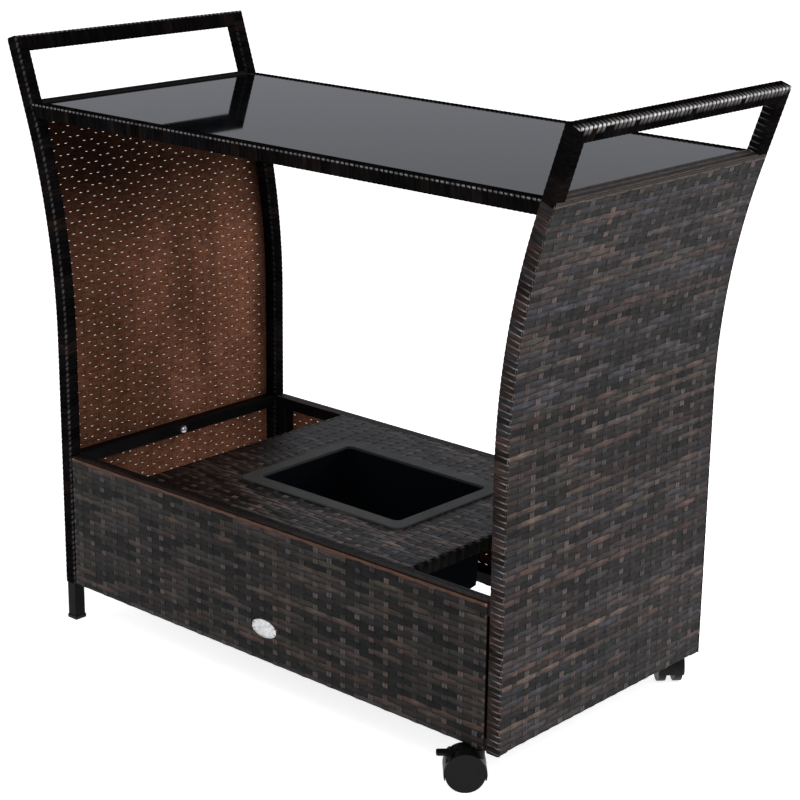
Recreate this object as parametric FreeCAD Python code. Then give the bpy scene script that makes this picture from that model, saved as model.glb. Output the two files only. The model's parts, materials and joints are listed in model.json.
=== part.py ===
import FreeCAD, Part
import math
import os

from FreeCAD import Placement, Rotation, Vector

# Bar cart with woven sides, in millimetres.
# X runs along the cart towards the casters, Y from front to back, Z up.
# The origin is on the floor below the middle of the cart.

# Overall form
cart_depth = 424.0  # over the wrapped legs
handle_rise = 84.0  # upper edge of the handles above the tabletop
base_length = 805.0  # over the woven ends, below their bend
bend_radius = 966.0  # of the ends' outer faces
lean_deg = 18.5  # of the straight upper legs, from upright
rail_rise = 2.0  # from the upper end of the bend to the end top rail

# Tube and strip
tube = 17.5  # outside of the square steel tube
tube_wall = 1.2
tube_corner = 2.0
strip = 0.9  # thickness of a woven sheet and of the wrap wound round a tube
strip_gap = 0.3  # between a tube and the wrap or bent sheet on it

# Tabletop
table_top = 746.0  # highest line of the end rails' woven fold
table_drop = 4.6  # tabletop rails below that line
glass_thickness = 5.0
glass_recess = 1.0  # glass below the tabletop rails
glass_gap = 1.0  # round the glass
glass_corner = 5.0
support_tube = 12.0  # bars under the glass
support_span = 560.0  # between their centre lines
pad_size = 10.0
pad_thickness = 2.0
pad_inset = 30.0  # pads from the tabletop rails

# Box and shelf
box_top = 250.5
box_bottom = 56.4
panel_seam = 4.0  # between a box panel and the wrapped leg
shelf_length = 485.0
shelf_gap = 0.5  # between the shelf sheet and the box rails

# Ice bucket
bucket_length = 255.0  # inside, at the rim
bucket_width = 181.0
bucket_depth = 145.0
bucket_corner = 9.0
bucket_draft = 7.0  # each wall leans in by this much over the depth
bucket_wall = 2.0
bucket_bevel = 6.0  # between the walls and the floor
bucket_clearance = 1.5  # round the bucket in the shelf opening
rim_width = 20.0
rim_thickness = 2.5
rim_corner = 12.0
rim_edge = 1.0

# Feet, plugs and cap nuts
foot_height = 5.0
foot_overhang = 1.0  # past the tube on each side
foot_bevel = 0.8
plug_head = 2.0
plug_length = 14.0
plug_gap = 0.15  # round the plug in the tube
nut_width = 11.0  # across flats
nut_hex = 5.0
nut_dome = 4.0
stud_radius = 3.0
stud_length = 6.0
fit_clearance = 0.05  # radial, shaft in hole

# Casters
caster_inset = 38.5  # stem axis from the woven end's outer face
caster_trail = 16.0  # stem axis to axle
caster_heading_deg = 43.0  # resting turn of each caster, outwards from straight along the cart
wheel_diameter = 50.0
wheel_width = 10.0
axle_radius = 3.0
axle_seat = 3.0  # wheel left outside the end of the axle
side_gap = 0.5  # wheel to web and wheel to skirt
tread_gap = 0.6  # wheel to hood
web = 11.0  # middle wall of the hood, between the wheels
hood_wall = 1.2
hood_low = 17.0  # lower ends of the hood above the floor
skirt_radius = 18.0  # open circle in each side of the hood
boss_radius = 8.0
boss_top = 52.5
stem_radius = 4.0
stem_low = 32.0
stem_reach = 12.0  # into the insert
collar_width = 13.0  # across the flats of the stem's hexagon
collar_gap = 0.4  # between the hood's boss and the stem's hexagon
insert_radius = 6.0
insert_length = 15.0
insert_room = 0.5  # round the insert in the panel's lower fold

# Brake levers
lever_pivot_x = 8.0  # from the axle, along the trail
lever_pivot_z = 20.5  # above the axle
lever_pin = 1.5
lever_hub = 3.2
lever_thick = 7.0
lever_room = 0.6  # round the lever in the hood
lever_reach = 35.5  # tip from the axle
lever_tab_low = 20.0  # underside of the tab above the axle
lever_tab = 3.4
lever_tab_width = 13.0
shoe_width = 26.0
shoe_gap = 2.8  # released shoe to tread
shoe_thick = 2.4
shoe_from_deg = 36.0  # place of the shoe round the wheel, above level
shoe_to_deg = 52.0
lever_press_deg = 8.0  # travel of the lever

# Worked out from the sizes above
lean = math.radians(lean_deg)
flat_share = 2 - math.sqrt(2)  # width of the flat that stands for a round corner, as a share of its radius
half_depth = cart_depth / 2
half_base = base_length / 2
wrap = strip + strip_gap  # outside of a wrap, or of a woven end, to its tube
wrapped_tube = tube + 2 * wrap
fold_rise = rail_rise + tube + strip  # from the upper end of the bend to the woven fold over the end top rail
fold_depth = tube + 2 * strip  # of that fold, inwards
cart_height = table_top + handle_rise  # floor to the upper edge of the handles
bend_x = half_base + bend_radius
bend_start = table_top - (bend_radius + fold_depth) * math.sin(lean) - fold_rise * math.cos(lean)
leg_out = half_depth - wrap  # outer and inner side faces of the leg tubes
leg_in = leg_out - tube
rail_end = half_base - wrap - tube  # ends of the box rails, on the leg tubes
rail_y = half_depth - strip - tube / 2  # centre lines of the box rails
upper_z = box_top - strip - tube / 2
lower_z = box_bottom + strip + tube / 2
end_rail_x = half_base - strip - tube / 2
table_y = half_depth - wrapped_tube / 2  # tabletop rails, in line with the legs
table_z = table_top - table_drop - wrapped_tube / 2
glass_top_z = table_z + wrapped_tube / 2 - glass_recess
support_z = glass_top_z - glass_thickness - pad_thickness - support_tube / 2
shelf_bar_x = shelf_length / 2 - strip - tube / 2
opening_length = bucket_length + 2 * (bucket_wall + bucket_clearance)
opening_width = bucket_width + 2 * (bucket_wall + bucket_clearance)
cross_bar_y = (opening_width + tube) / 2
caster_x = half_base - caster_inset
wheel_radius = wheel_diameter / 2
hood_radius = wheel_radius + tread_gap + hood_wall
hood_half = web / 2 + side_gap + wheel_width + side_gap + hood_wall
panel_reach = half_base - wrapped_tube - panel_seam  # ends of the box panels
lean_up = Vector(math.sin(lean), 0, math.cos(lean))
lean_in = Vector(-math.cos(lean), 0, math.sin(lean))
along = Vector(1, 0, 0)
across = Vector(0, 1, 0)
upward = Vector(0, 0, 1)


def save(name, shape):
    solids = shape.Solids
    whole = solids[0] if len(solids) == 1 else Part.makeCompound(solids)
    whole.exportStep(os.path.join("parts", name + ".step"))


def mirror_x(shape):
    return shape.mirror(Vector(0, 0, 0), Vector(1, 0, 0))


def mirror_y(shape):
    return shape.mirror(Vector(0, 0, 0), Vector(0, 1, 0))


def block(low, high):
    size = high - low
    return Part.makeBox(size.x, size.y, size.z, low)


def prism(points, travel):
    wire = Part.makePolygon(points + points[:1])
    return Part.Face(wire).extrude(travel)


def eased_along(shape, run, radius):
    edges = [e for e in shape.Edges if abs(edge_run(e).dot(run)) > 0.99]
    return shape.makeChamfer(flat_share * radius, edges)


def edge_run(edge):
    return edge.tangentAt(edge.FirstParameter)


def is_upright(edge):
    return abs(edge_run(edge).z) > 0.99


def hex_prism(center, width, side, travel):
    corner = side * (width / math.sqrt(3))
    turns = [Rotation(travel, 60 * step) for step in range(6)]
    return prism([center + turn.multVec(corner) for turn in turns], travel)


def eased_fold(sheet, outer_spots, inner_spots):
    inner = [nearest_edge(sheet, spot) for spot in inner_spots]
    folded = sheet.makeChamfer(flat_share * tube_corner, inner)
    outer = [nearest_edge(folded, spot) for spot in outer_spots]
    return folded.makeChamfer(flat_share * (tube_corner + strip), outer)


def nearest_edge(shape, spot):
    return min(shape.Edges, key=lambda e: e.distToShape(Part.Vertex(spot))[0])


# Square tubes along X or Y

def bar(start, end, size):
    run = (end - start).normalize()
    side = Vector(1, 1, 1) - run
    return block(start - side * (size / 2), end + side * (size / 2))


def square_tube(start, end, size):
    run = (end - start).normalize()
    outside = eased_along(bar(start, end, size), run, tube_corner)
    return outside.cut(bar(start, end, size - 2 * tube_wall))


def box_rail(y, z):
    return Vector(-rail_end, y, z), Vector(rail_end, y, z)


def end_rail(z):
    return Vector(end_rail_x, -leg_in, z), Vector(end_rail_x, leg_in, z)


# Bent end frames, made at +X; depth is measured inwards from the woven outer face

def lean_point(y, rise, depth):
    radius = bend_radius + depth
    x = bend_x - radius * math.cos(lean) + rise * math.sin(lean)
    z = bend_start + radius * math.sin(lean) + rise * math.cos(lean)
    return Vector(x, y, z)


def rise_to(height, depth):
    return (height - lean_point(0, 0, depth).z) / math.cos(lean)


def bend_arc(depth, y):
    radius = bend_radius + depth
    points = []
    for turn in (0, lean / 2, lean):
        x = bend_x - radius * math.cos(turn)
        z = bend_start + radius * math.sin(turn)
        points.append(Vector(x, y, z))
    return points


def bent_slab(outer, inner, low, rise, y_from, y_to):
    out_arc = bend_arc(outer, y_from)
    in_arc = bend_arc(inner, y_from)
    out_foot = Vector(half_base - outer, y_from, low)
    in_foot = Vector(half_base - inner, y_from, low)
    out_head = lean_point(y_from, rise, outer)
    in_head = lean_point(y_from, rise, inner)
    edges = [
        Part.LineSegment(out_foot, out_arc[0]),
        Part.Arc(*out_arc),
        Part.LineSegment(out_arc[2], out_head),
        Part.LineSegment(out_head, in_head),
        Part.LineSegment(in_head, in_arc[2]),
        Part.Arc(*reversed(in_arc)),
        Part.LineSegment(in_arc[0], in_foot),
        Part.LineSegment(in_foot, out_foot),
    ]
    wire = Part.Wire([e.toShape() for e in edges])
    return Part.Face(wire).extrude(across * (y_to - y_from))


def lean_prism(outline, outer, inner):
    points = [lean_point(y, rise, outer) for y, rise in outline]
    return prism(points, lean_in * (inner - outer))


top_rise = rise_to(cart_height, wrapped_tube)  # of the wrapped handles


def leg_slab(inset, low, rise):
    return bent_slab(wrap + inset, wrap + tube - inset, low, rise, leg_in + inset, leg_out - inset)


def eased_leg(grow, low, radius):
    slab = leg_slab(-grow, low, top_rise + wrapped_tube)
    return slab.makeChamfer(flat_share * radius, [e for e in slab.Edges if e.Length > 2 * wrapped_tube])


def mitre_wedge():
    far = 2 * wrapped_tube
    outline = [
        (half_depth + wrapped_tube, top_rise + wrapped_tube),
        (half_depth - far, top_rise + wrapped_tube),
        (half_depth - far, top_rise - far),
    ]
    return lean_prism(outline, 0, 2 * wrapped_tube)


def leg(low):
    bore = leg_slab(tube_wall, low, top_rise - wrap - tube_wall)
    return eased_leg(0, low, tube_corner).cut([bore, mitre_wedge()])


def handle_prism(inset):
    top = top_rise - inset
    low = top_rise - wrapped_tube + inset
    y_top = half_depth - inset
    y_low = half_depth - wrapped_tube + inset
    outline = [(-y_top, top), (y_top, top), (y_low, low), (-y_low, low)]
    return lean_prism(outline, inset, wrapped_tube - inset)


def handle():
    outside = eased_along(handle_prism(wrap), across, tube_corner)
    return outside.cut(handle_prism(wrap + tube_wall))


def handle_wrap():
    outside = eased_along(handle_prism(0), across, tube_corner + wrap)
    return outside.cut(eased_along(handle_prism(strip), across, tube_corner))


def top_rail_center(y):
    return lean_point(y, fold_rise - strip - tube / 2, strip + tube / 2)


def turned_with_lean(shape):
    return shape.rotate(top_rail_center(0), across, lean_deg)


def end_top_rail():
    return turned_with_lean(square_tube(top_rail_center(-leg_in), top_rail_center(leg_in), tube))


def end_top_rail_room():
    return turned_with_lean(bar(top_rail_center(-leg_in), top_rail_center(leg_in), tube))


def end_panel():
    fold_y = half_depth - wrapped_tube
    sheet = bent_slab(0, strip, box_bottom, fold_rise, -fold_y, fold_y)
    over_leg = bent_slab(0, strip, box_bottom, fold_rise, fold_y, half_depth)
    fold_low = fold_rise - strip
    fold = [(-fold_y, fold_low), (fold_y, fold_low), (fold_y, fold_rise), (-fold_y, fold_rise)]
    top_fold = lean_prism(fold, strip, strip + tube)
    hem_y = table_y - tube / 2 - wrap
    hem = [(-hem_y, rail_rise), (hem_y, rail_rise), (hem_y, fold_rise), (-hem_y, fold_rise)]
    inner_hem = lean_prism(hem, strip + tube, fold_depth)
    low = Vector(half_base - strip - tube, -fold_y, box_bottom)
    high = Vector(half_base - strip, fold_y, box_bottom + strip)
    folded = sheet.fuse([top_fold, block(low, high)]).removeSplitter()
    outer = [lean_point(0, fold_rise, 0), Vector(half_base, 0, box_bottom)]
    inner = [lean_point(0, fold_rise - strip, strip), Vector(half_base - strip, 0, box_bottom + strip)]
    folded = eased_fold(folded, outer, inner)
    return folded.fuse([inner_hem, over_leg, mirror_y(over_leg)]).removeSplitter()


# Everything that meets a leg or a tabletop rail where its wrap is left out

def table_rail_bar(y, size):
    long_half = lean_point(0, top_rise, 0).x
    whole = bar(Vector(-long_half, y, table_z), Vector(long_half, y, table_z), size)
    beyond = bent_slab(-long_half, wrap + tube, 0, top_rise, -cart_depth, cart_depth)
    return whole.cut([beyond, mirror_x(beyond)])


def table_rail(y):
    outside = eased_along(table_rail_bar(y, tube), along, tube_corner)
    return outside.cut(table_rail_bar(y, tube - 2 * tube_wall))


def glass_support(x):
    reach = table_y - tube / 2
    return Vector(x, -reach, support_z), Vector(x, reach, support_z)


def leg_wrap():
    outside = eased_leg(wrap, box_bottom, tube_corner)
    core = leg_slab(-strip_gap, box_bottom, top_rise + wrapped_tube)
    under_sheet = bent_slab(-wrap, wrap, 0, fold_rise, -cart_depth, cart_depth)
    meets = [under_sheet, end_top_rail_room(), table_rail_bar(table_y, wrapped_tube)]
    meets += [bar(*box_rail(rail_y, z), tube) for z in (upper_z, lower_z)]
    meets += [bar(*end_rail(z), tube) for z in (upper_z, lower_z)]
    return outside.cut([core, mitre_wedge()] + meets)


def table_wrap(y):
    outside = eased_along(table_rail_bar(y, wrapped_tube), along, tube_corner + wrap)
    meets = [eased_along(table_rail_bar(y, tube + 2 * strip_gap), along, tube_corner)]
    meets += [bar(*glass_support(x), support_tube) for x in (-support_span / 2, support_span / 2)]
    return outside.cut(meets)


# Box panels, shelf and glass

def box_panel():
    face = half_depth
    back = face - strip
    fold = back - tube
    section = [
        (face, box_bottom),
        (face, box_top),
        (fold, box_top),
        (fold, box_top - strip),
        (back, box_top - strip),
        (back, box_bottom + strip),
        (fold, box_bottom + strip),
        (fold, box_bottom),
    ]
    panel = prism([Vector(-panel_reach, y, z) for y, z in section], along * (2 * panel_reach))
    outer = [Vector(0, face, z) for z in (box_bottom, box_top)]
    inner = [Vector(0, back, z) for z in (box_bottom + strip, box_top - strip)]
    panel = eased_fold(panel, outer, inner)
    hole = Part.makeCylinder(insert_radius + insert_room, strip, Vector(caster_x, rail_y, box_bottom))
    return panel.cut(hole)


def panel_stile(end, side):
    x = end * (panel_reach - tube / 2)
    low = Vector(x, side * rail_y, lower_z + tube / 2)
    return square_tube(low, Vector(x, side * rail_y, upper_z - tube / 2), tube)


def shelf():
    half = shelf_length / 2
    reach = rail_y - tube / 2 - shelf_gap
    sheet = block(Vector(-half, -reach, box_top - strip), Vector(half, reach, box_top))
    side_low = Vector(half - strip, -reach, box_top - strip - tube)
    side = block(side_low, Vector(half, reach, box_top - strip))
    folded = sheet.fuse([side, mirror_x(side)]).removeSplitter()
    outer = [Vector(x, 0, box_top) for x in (-half, half)]
    inner = [Vector(x, 0, box_top - strip) for x in (strip - half, half - strip)]
    opening = rounded_block(opening_length, opening_width, bucket_corner, box_top - strip, box_top)
    return eased_fold(folded, outer, inner).cut(opening)


def glass():
    low_z = glass_top_z - glass_thickness
    half_length = lean_point(0, rise_to(low_z, fold_depth), fold_depth).x - glass_gap
    half_width = table_y - tube / 2 - wrap - glass_gap
    return rounded_block(2 * half_length, 2 * half_width, glass_corner, low_z, glass_top_z)


def glass_pads():
    y = table_y - tube / 2 - wrap - pad_inset
    z = glass_top_z - glass_thickness - pad_thickness
    half = Vector(pad_size / 2, pad_size / 2, 0)
    spots = [Vector(sx * support_span / 2, sy * y, z) for sx in (-1, 1) for sy in (-1, 1)]
    return Part.makeCompound([block(spot - half, spot + half + upward * pad_thickness) for spot in spots])


# Ice bucket

def rounded_wire(length, width, radius, z):
    x = length / 2
    y = width / 2
    k = radius * (1 - math.sqrt(0.5))
    edges = []
    for sx, sy, turned in ((1, 1, False), (-1, 1, True), (-1, -1, False), (1, -1, True)):
        on_x = Vector(sx * x, sy * (y - radius), z)
        on_y = Vector(sx * (x - radius), sy * y, z)
        middle = Vector(sx * (x - k), sy * (y - k), z)
        first, last = (on_y, on_x) if turned else (on_x, on_y)
        if edges:
            edges.append(Part.LineSegment(edges[-1].EndPoint, first))
        edges.append(Part.Arc(first, middle, last))
    edges.append(Part.LineSegment(edges[-1].EndPoint, edges[0].StartPoint))
    return Part.Wire([e.toShape() for e in edges])


def rounded_block(length, width, radius, low, high):
    return Part.Face(rounded_wire(length, width, radius, low)).extrude(Vector(0, 0, high - low))


def bucket_form(grow, top, low):
    length = bucket_length + 2 * grow
    width = bucket_width + 2 * grow
    radius = bucket_corner + grow
    bottom = 2 * bucket_draft
    bevel = bottom + 2 * bucket_bevel
    sections = [
        rounded_wire(length, width, radius, top),
        rounded_wire(length - bottom, width - bottom, radius, low + bucket_bevel),
        rounded_wire(length - bevel, width - bevel, radius, low),
    ]
    return Part.makeLoft(sections, True, True)


def ice_bucket():
    rim_top = box_top + rim_thickness
    floor = rim_top - bucket_depth
    rim_length = bucket_length + 2 * rim_width
    rim = rounded_block(rim_length, bucket_width + 2 * rim_width, rim_corner, box_top, rim_top)
    edges = [e for e in rim.Edges if e.BoundBox.ZMin > box_top + rim_thickness / 2]
    rim = rim.makeChamfer(rim_edge, edges)
    outside = bucket_form(bucket_wall, box_top, floor - bucket_wall)
    inside = bucket_form(0, rim_top, floor)
    return rim.fuse(outside).cut(inside)


# Feet, plugs and cap nuts

def foot_cap():
    center = Vector(half_base - wrapped_tube / 2, half_depth - wrapped_tube / 2, 0)
    size = tube + 2 * foot_overhang
    head = eased_along(bar(Vector(0, 0, 0), upward * foot_height, size), upward, tube_corner)
    head = head.makeChamfer(foot_bevel, [e for e in head.Edges if e.BoundBox.ZMax < foot_height / 2])
    return head.fuse(tube_stub(foot_height)).translate(center)


def tube_stub(low):
    half = tube / 2 - tube_wall - plug_gap
    return block(Vector(-half, -half, low), Vector(half, half, low + plug_length))


def leg_plug():
    center = Vector(half_base - wrapped_tube / 2, half_depth - wrapped_tube / 2, box_bottom)
    head = eased_along(bar(Vector(0, 0, 0), upward * plug_head, tube), upward, tube_corner)
    return head.fuse(tube_stub(plug_head)).translate(center)


def cap_nut():
    face_x = half_base - strip - tube
    hexagon = hex_prism(Vector(face_x, 0, upper_z), nut_width, across, along * -nut_hex)
    ball_radius = (nut_width ** 2 / 4 + nut_dome ** 2) / (2 * nut_dome)
    ball_x = face_x - nut_hex - nut_dome + ball_radius
    ball = Part.makeSphere(ball_radius, Vector(ball_x, 0, upper_z))
    beyond_hex = block(
        Vector(face_x - nut_hex - 2 * nut_dome, -nut_width, upper_z - nut_width),
        Vector(face_x - nut_hex, nut_width, upper_z + nut_width),
    )
    stud = Part.makeCylinder(stud_radius - fit_clearance, stud_length, Vector(face_x, 0, upper_z), along)
    return hexagon.fuse([ball.common(beyond_hex), stud])


def nut_hole():
    return Part.makeCylinder(stud_radius, tube, Vector(half_base - strip - 1.5 * tube, 0, upper_z), along)


# Casters, made about their stem with the trail along +X and the axle along Y

def placed_caster(shape, side):
    turn = 180 - side * caster_heading_deg
    placed = shape.copy()
    placed.Placement = Placement(Vector(caster_x, side * rail_y, 0), Rotation(upward, turn))
    return placed


def axle_cylinder(radius, y_from, y_to, x=0, z=0):
    base = Vector(caster_trail + x, y_from, wheel_radius + z)
    return Part.makeCylinder(radius, y_to - y_from, base, across)


def ring_sector(inner, outer, half_width, from_deg, to_deg):
    points = []
    for radius, turns in ((inner, (from_deg, to_deg)), (outer, (to_deg, from_deg))):
        middle = math.radians((from_deg + to_deg) / 2)
        spots = [math.radians(turns[0]), middle, math.radians(turns[1])]
        for turn in spots:
            x = caster_trail + radius * math.cos(turn)
            points.append(Vector(x, -half_width, wheel_radius + radius * math.sin(turn)))
    edges = [
        Part.Arc(*points[:3]),
        Part.LineSegment(points[2], points[3]),
        Part.Arc(*points[3:]),
        Part.LineSegment(points[5], points[0]),
    ]
    wire = Part.Wire([e.toShape() for e in edges])
    return Part.Face(wire).extrude(across * (2 * half_width))


def hood():
    drum = axle_cylinder(hood_radius, -hood_half, hood_half)
    boss_low = wheel_radius + skirt_radius / 2
    boss = Part.makeCylinder(boss_radius, boss_top - boss_low, Vector(0, 0, boss_low))
    reach = 2 * hood_radius
    below = block(Vector(-reach, -reach, -reach), Vector(reach, reach, hood_low))
    cuts = [below]
    room = wheel_radius + tread_gap
    cavity_end = hood_half - hood_wall
    for side in (-1, 1):
        y_from, y_to = sorted((side * web / 2, side * cavity_end))
        cuts.append(axle_cylinder(room, y_from, y_to))
        y_from, y_to = sorted((side * cavity_end, side * reach))
        cuts.append(axle_cylinder(skirt_radius, y_from, y_to))
        low = Vector(caster_trail - room, y_from, -reach)
        cuts.append(block(low, Vector(caster_trail + room, y_to, wheel_radius)))
    cuts.append(Part.makeCylinder(stem_radius + fit_clearance, boss_top, Vector(0, 0, stem_low - collar_gap)))
    cuts.append(axle_cylinder(axle_radius + fit_clearance, -web, web))
    cuts.append(axle_cylinder(lever_pin + fit_clearance, -web, web, lever_pivot_x, lever_pivot_z))
    cuts += lever_rooms()
    return drum.fuse(boss).cut(cuts)


def lever_rooms():
    half = lever_thick / 2 + lever_room
    pocket = axle_cylinder(lever_hub + lever_room, -half, half, lever_pivot_x, lever_pivot_z)
    low_z = wheel_radius + lever_pivot_z - lever_hub - lever_room
    low_z -= lever_reach * math.tan(math.radians(lever_press_deg)) / 2
    slot = block(
        Vector(caster_trail + lever_pivot_x, -half, low_z),
        Vector(caster_trail + lever_reach, half, wheel_radius + lever_pivot_z + lever_reach),
    )
    tab_half = lever_tab_width / 2 + lever_room
    tab_room = block(
        Vector(tab_root(), -tab_half, low_z),
        Vector(caster_trail + lever_reach, tab_half, wheel_radius + lever_pivot_z + lever_reach),
    )
    window = ring_sector(
        wheel_radius + tread_gap / 2,
        hood_radius + hood_wall,
        shoe_width / 2 + lever_room,
        shoe_from_deg - lever_press_deg,
        shoe_to_deg + lever_press_deg,
    )
    return [pocket, slot, tab_room, window]


def tab_root():
    middle = math.radians((shoe_from_deg + shoe_to_deg) / 2)
    return caster_trail + (wheel_radius + shoe_gap) * math.cos(middle)


def brake_lever():
    hub = axle_cylinder(lever_hub, -lever_thick / 2, lever_thick / 2, lever_pivot_x, lever_pivot_z)
    pivot = Vector(caster_trail + lever_pivot_x, -lever_thick / 2, wheel_radius + lever_pivot_z)
    tab_z = wheel_radius + lever_tab_low
    outline = [
        pivot - upward * lever_hub,
        Vector(tab_root(), -lever_thick / 2, tab_z),
        Vector(tab_root(), -lever_thick / 2, tab_z + lever_tab),
        pivot + upward * lever_hub,
    ]
    arm = prism(outline, across * lever_thick)
    tab_tip = caster_trail + lever_reach
    half = lever_tab_width / 2
    tab = block(Vector(tab_root(), -half, tab_z), Vector(tab_tip, half, tab_z + lever_tab))
    tip_edges = [e for e in tab.Edges if is_upright(e) and e.BoundBox.XMin > tab_root()]
    tab = tab.makeChamfer(flat_share * lever_tab, tip_edges)
    inner = wheel_radius + shoe_gap
    shoe = ring_sector(inner, inner + shoe_thick, shoe_width / 2, shoe_from_deg, shoe_to_deg)
    bore = axle_cylinder(lever_pin + fit_clearance, -lever_thick, lever_thick, lever_pivot_x, lever_pivot_z)
    return hub.fuse([arm, tab, shoe]).removeSplitter().cut(bore)


def wheel(side):
    bore = axle_radius + fit_clearance
    bore_end = wheel_width - axle_seat
    outline = [
        (0, wheel_width),
        (wheel_radius, wheel_width),
        (wheel_radius, 0),
        (bore, 0),
        (bore, bore_end),
        (0, bore_end),
    ]
    points = [Vector(caster_trail + r, side * (web / 2 + side_gap + y), wheel_radius) for r, y in outline]
    face = Part.Face(Part.makePolygon(points + points[:1]))
    return face.revolve(Vector(caster_trail, 0, wheel_radius), across, 360)


def axle():
    half = web / 2 + side_gap + wheel_width - axle_seat - side_gap
    return axle_cylinder(axle_radius, -half, half)


def brake_pin():
    return axle_cylinder(lever_pin, -web / 2, web / 2, lever_pivot_x, lever_pivot_z)


def caster_stem():
    collar_low = boss_top + collar_gap
    neck = Part.makeCylinder(stem_radius, box_bottom + stem_reach - stem_low, Vector(0, 0, stem_low))
    collar = hex_prism(Vector(0, 0, collar_low), collar_width, along, upward * (box_bottom - collar_low))
    return neck.fuse(collar)


def caster_insert():
    barrel = Part.makeCylinder(insert_radius, insert_length, Vector(0, 0, box_bottom))
    bore = Part.makeCylinder(stem_radius + fit_clearance, insert_length, Vector(0, 0, box_bottom))
    return barrel.cut(bore)


def insert_hole(side):
    radius = insert_radius + fit_clearance
    return Part.makeCylinder(radius, tube / 2, Vector(caster_x, side * rail_y, box_bottom))


os.makedirs("parts", exist_ok=True)

# End frames
for end, place in (("left", mirror_x), ("right", Part.Shape.copy)):
    foot = foot_height if end == "left" else box_bottom + plug_head
    back_leg = place(leg(foot))
    back_wrap = place(leg_wrap())
    save(end + "_rear_leg", back_leg)
    save(end + "_front_leg", mirror_y(back_leg))
    save(end + "_rear_leg_wrap", back_wrap)
    save(end + "_front_leg_wrap", mirror_y(back_wrap))
    save(end + "_handle", place(handle()))
    save(end + "_handle_wrap", place(handle_wrap()))
    save(end + "_top_rail", place(end_top_rail()))
    save(end + "_middle_rail", place(square_tube(*end_rail(upper_z), tube).cut(nut_hole())))
    save(end + "_bottom_rail", place(square_tube(*end_rail(lower_z), tube)))
    save(end + "_end_weave", place(end_panel()))

# Tabletop
for name, y in (("front", -table_y), ("back", table_y)):
    save("table_" + name + "_rail", table_rail(y))
    save("table_" + name + "_rail_wrap", table_wrap(y))
for name, x in (("left", -support_span / 2), ("right", support_span / 2)):
    save(name + "_glass_support", square_tube(*glass_support(x), support_tube))
save("glass_pads", glass_pads())
save("glass_top", glass())

# Box
for name, side in (("front", -1), ("back", 1)):
    save(name + "_upper_rail", square_tube(*box_rail(side * rail_y, upper_z), tube))
    lower = square_tube(*box_rail(side * rail_y, lower_z), tube)
    save(name + "_lower_rail", lower.cut(insert_hole(side)))
    panel = box_panel()
    save(name + "_weave", panel if side > 0 else mirror_y(panel))
    bar_ends = [Vector(end * (shelf_bar_x - tube / 2), side * cross_bar_y, upper_z) for end in (-1, 1)]
    save("shelf_" + name + "_bar", square_tube(*bar_ends, tube))
for name, side in (("left", -1), ("right", 1)):
    reach = rail_y - tube / 2
    bar_ends = [Vector(side * shelf_bar_x, end * reach, upper_z) for end in (-1, 1)]
    save("shelf_" + name + "_bar", square_tube(*bar_ends, tube))
save("panel_stiles", Part.makeCompound([panel_stile(end, side) for end in (-1, 1) for side in (-1, 1)]))
save("shelf_weave", shelf())
save("ice_bucket", ice_bucket())

# Small pieces that come in sets
foot = mirror_x(foot_cap())
plug = leg_plug()
nut = cap_nut()
save("foot_caps", Part.makeCompound([foot, mirror_y(foot)]))
save("leg_plugs", Part.makeCompound([plug, mirror_y(plug)]))
save("cap_nuts", Part.makeCompound([nut, mirror_x(nut)]))
save("caster_inserts", Part.makeCompound([placed_caster(caster_insert(), side) for side in (-1, 1)]))

# Casters
for name, side in (("front", -1), ("rear", 1)):
    save(name + "_caster_stem", placed_caster(caster_stem(), side))
    save(name + "_caster_hood", placed_caster(hood(), side))
    save(name + "_caster_axle", placed_caster(axle(), side))
    save(name + "_caster_left_wheel", placed_caster(wheel(-1), side))
    save(name + "_caster_right_wheel", placed_caster(wheel(1), side))
    save(name + "_brake_lever", placed_caster(brake_lever(), side))
    save(name + "_brake_pin", placed_caster(brake_pin(), side))
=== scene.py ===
import json
import math
import random

import bmesh
import bpy
from mathutils import Euler, Matrix, Vector, noise


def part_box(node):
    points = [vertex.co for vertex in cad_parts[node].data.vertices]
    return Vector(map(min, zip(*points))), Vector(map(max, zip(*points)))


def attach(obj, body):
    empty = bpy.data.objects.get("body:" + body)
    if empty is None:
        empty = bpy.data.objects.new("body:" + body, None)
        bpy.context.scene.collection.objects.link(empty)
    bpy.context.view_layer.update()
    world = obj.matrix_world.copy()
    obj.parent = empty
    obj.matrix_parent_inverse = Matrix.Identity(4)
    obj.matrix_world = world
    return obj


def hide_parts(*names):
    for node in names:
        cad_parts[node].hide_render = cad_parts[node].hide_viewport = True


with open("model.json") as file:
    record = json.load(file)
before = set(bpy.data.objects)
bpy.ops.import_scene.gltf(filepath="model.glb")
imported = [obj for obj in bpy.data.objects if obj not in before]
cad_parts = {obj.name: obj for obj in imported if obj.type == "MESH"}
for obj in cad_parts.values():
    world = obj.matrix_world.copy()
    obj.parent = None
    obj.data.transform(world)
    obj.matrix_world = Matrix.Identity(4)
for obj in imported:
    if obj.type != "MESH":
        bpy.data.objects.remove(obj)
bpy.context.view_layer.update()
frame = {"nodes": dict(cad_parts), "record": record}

nodes = frame["nodes"]
mm = 0.001

# sizes shared by the pieces, in millimetres, as in the solids
cart = dict(
    halfDepth=212.0,
    halfBase=402.5,
    bendRadius=966.0,
    lean=math.radians(18.5),
    railRise=2.0,
    tube=17.5,
    tubeCorner=2.0,
    strip=0.9,
    stripGap=0.3,
    tableTop=746.0,
    handleTop=830.0,
    boxTop=250.5,
    boxBottom=56.4,
)
leanSin = math.sin(cart["lean"])
leanCos = math.cos(cart["lean"])
wrapped = cart["tube"] + 2 * (cart["strip"] + cart["stripGap"])  # width of a wrapped tube
legY = cart["halfDepth"] - wrapped / 2
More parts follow.
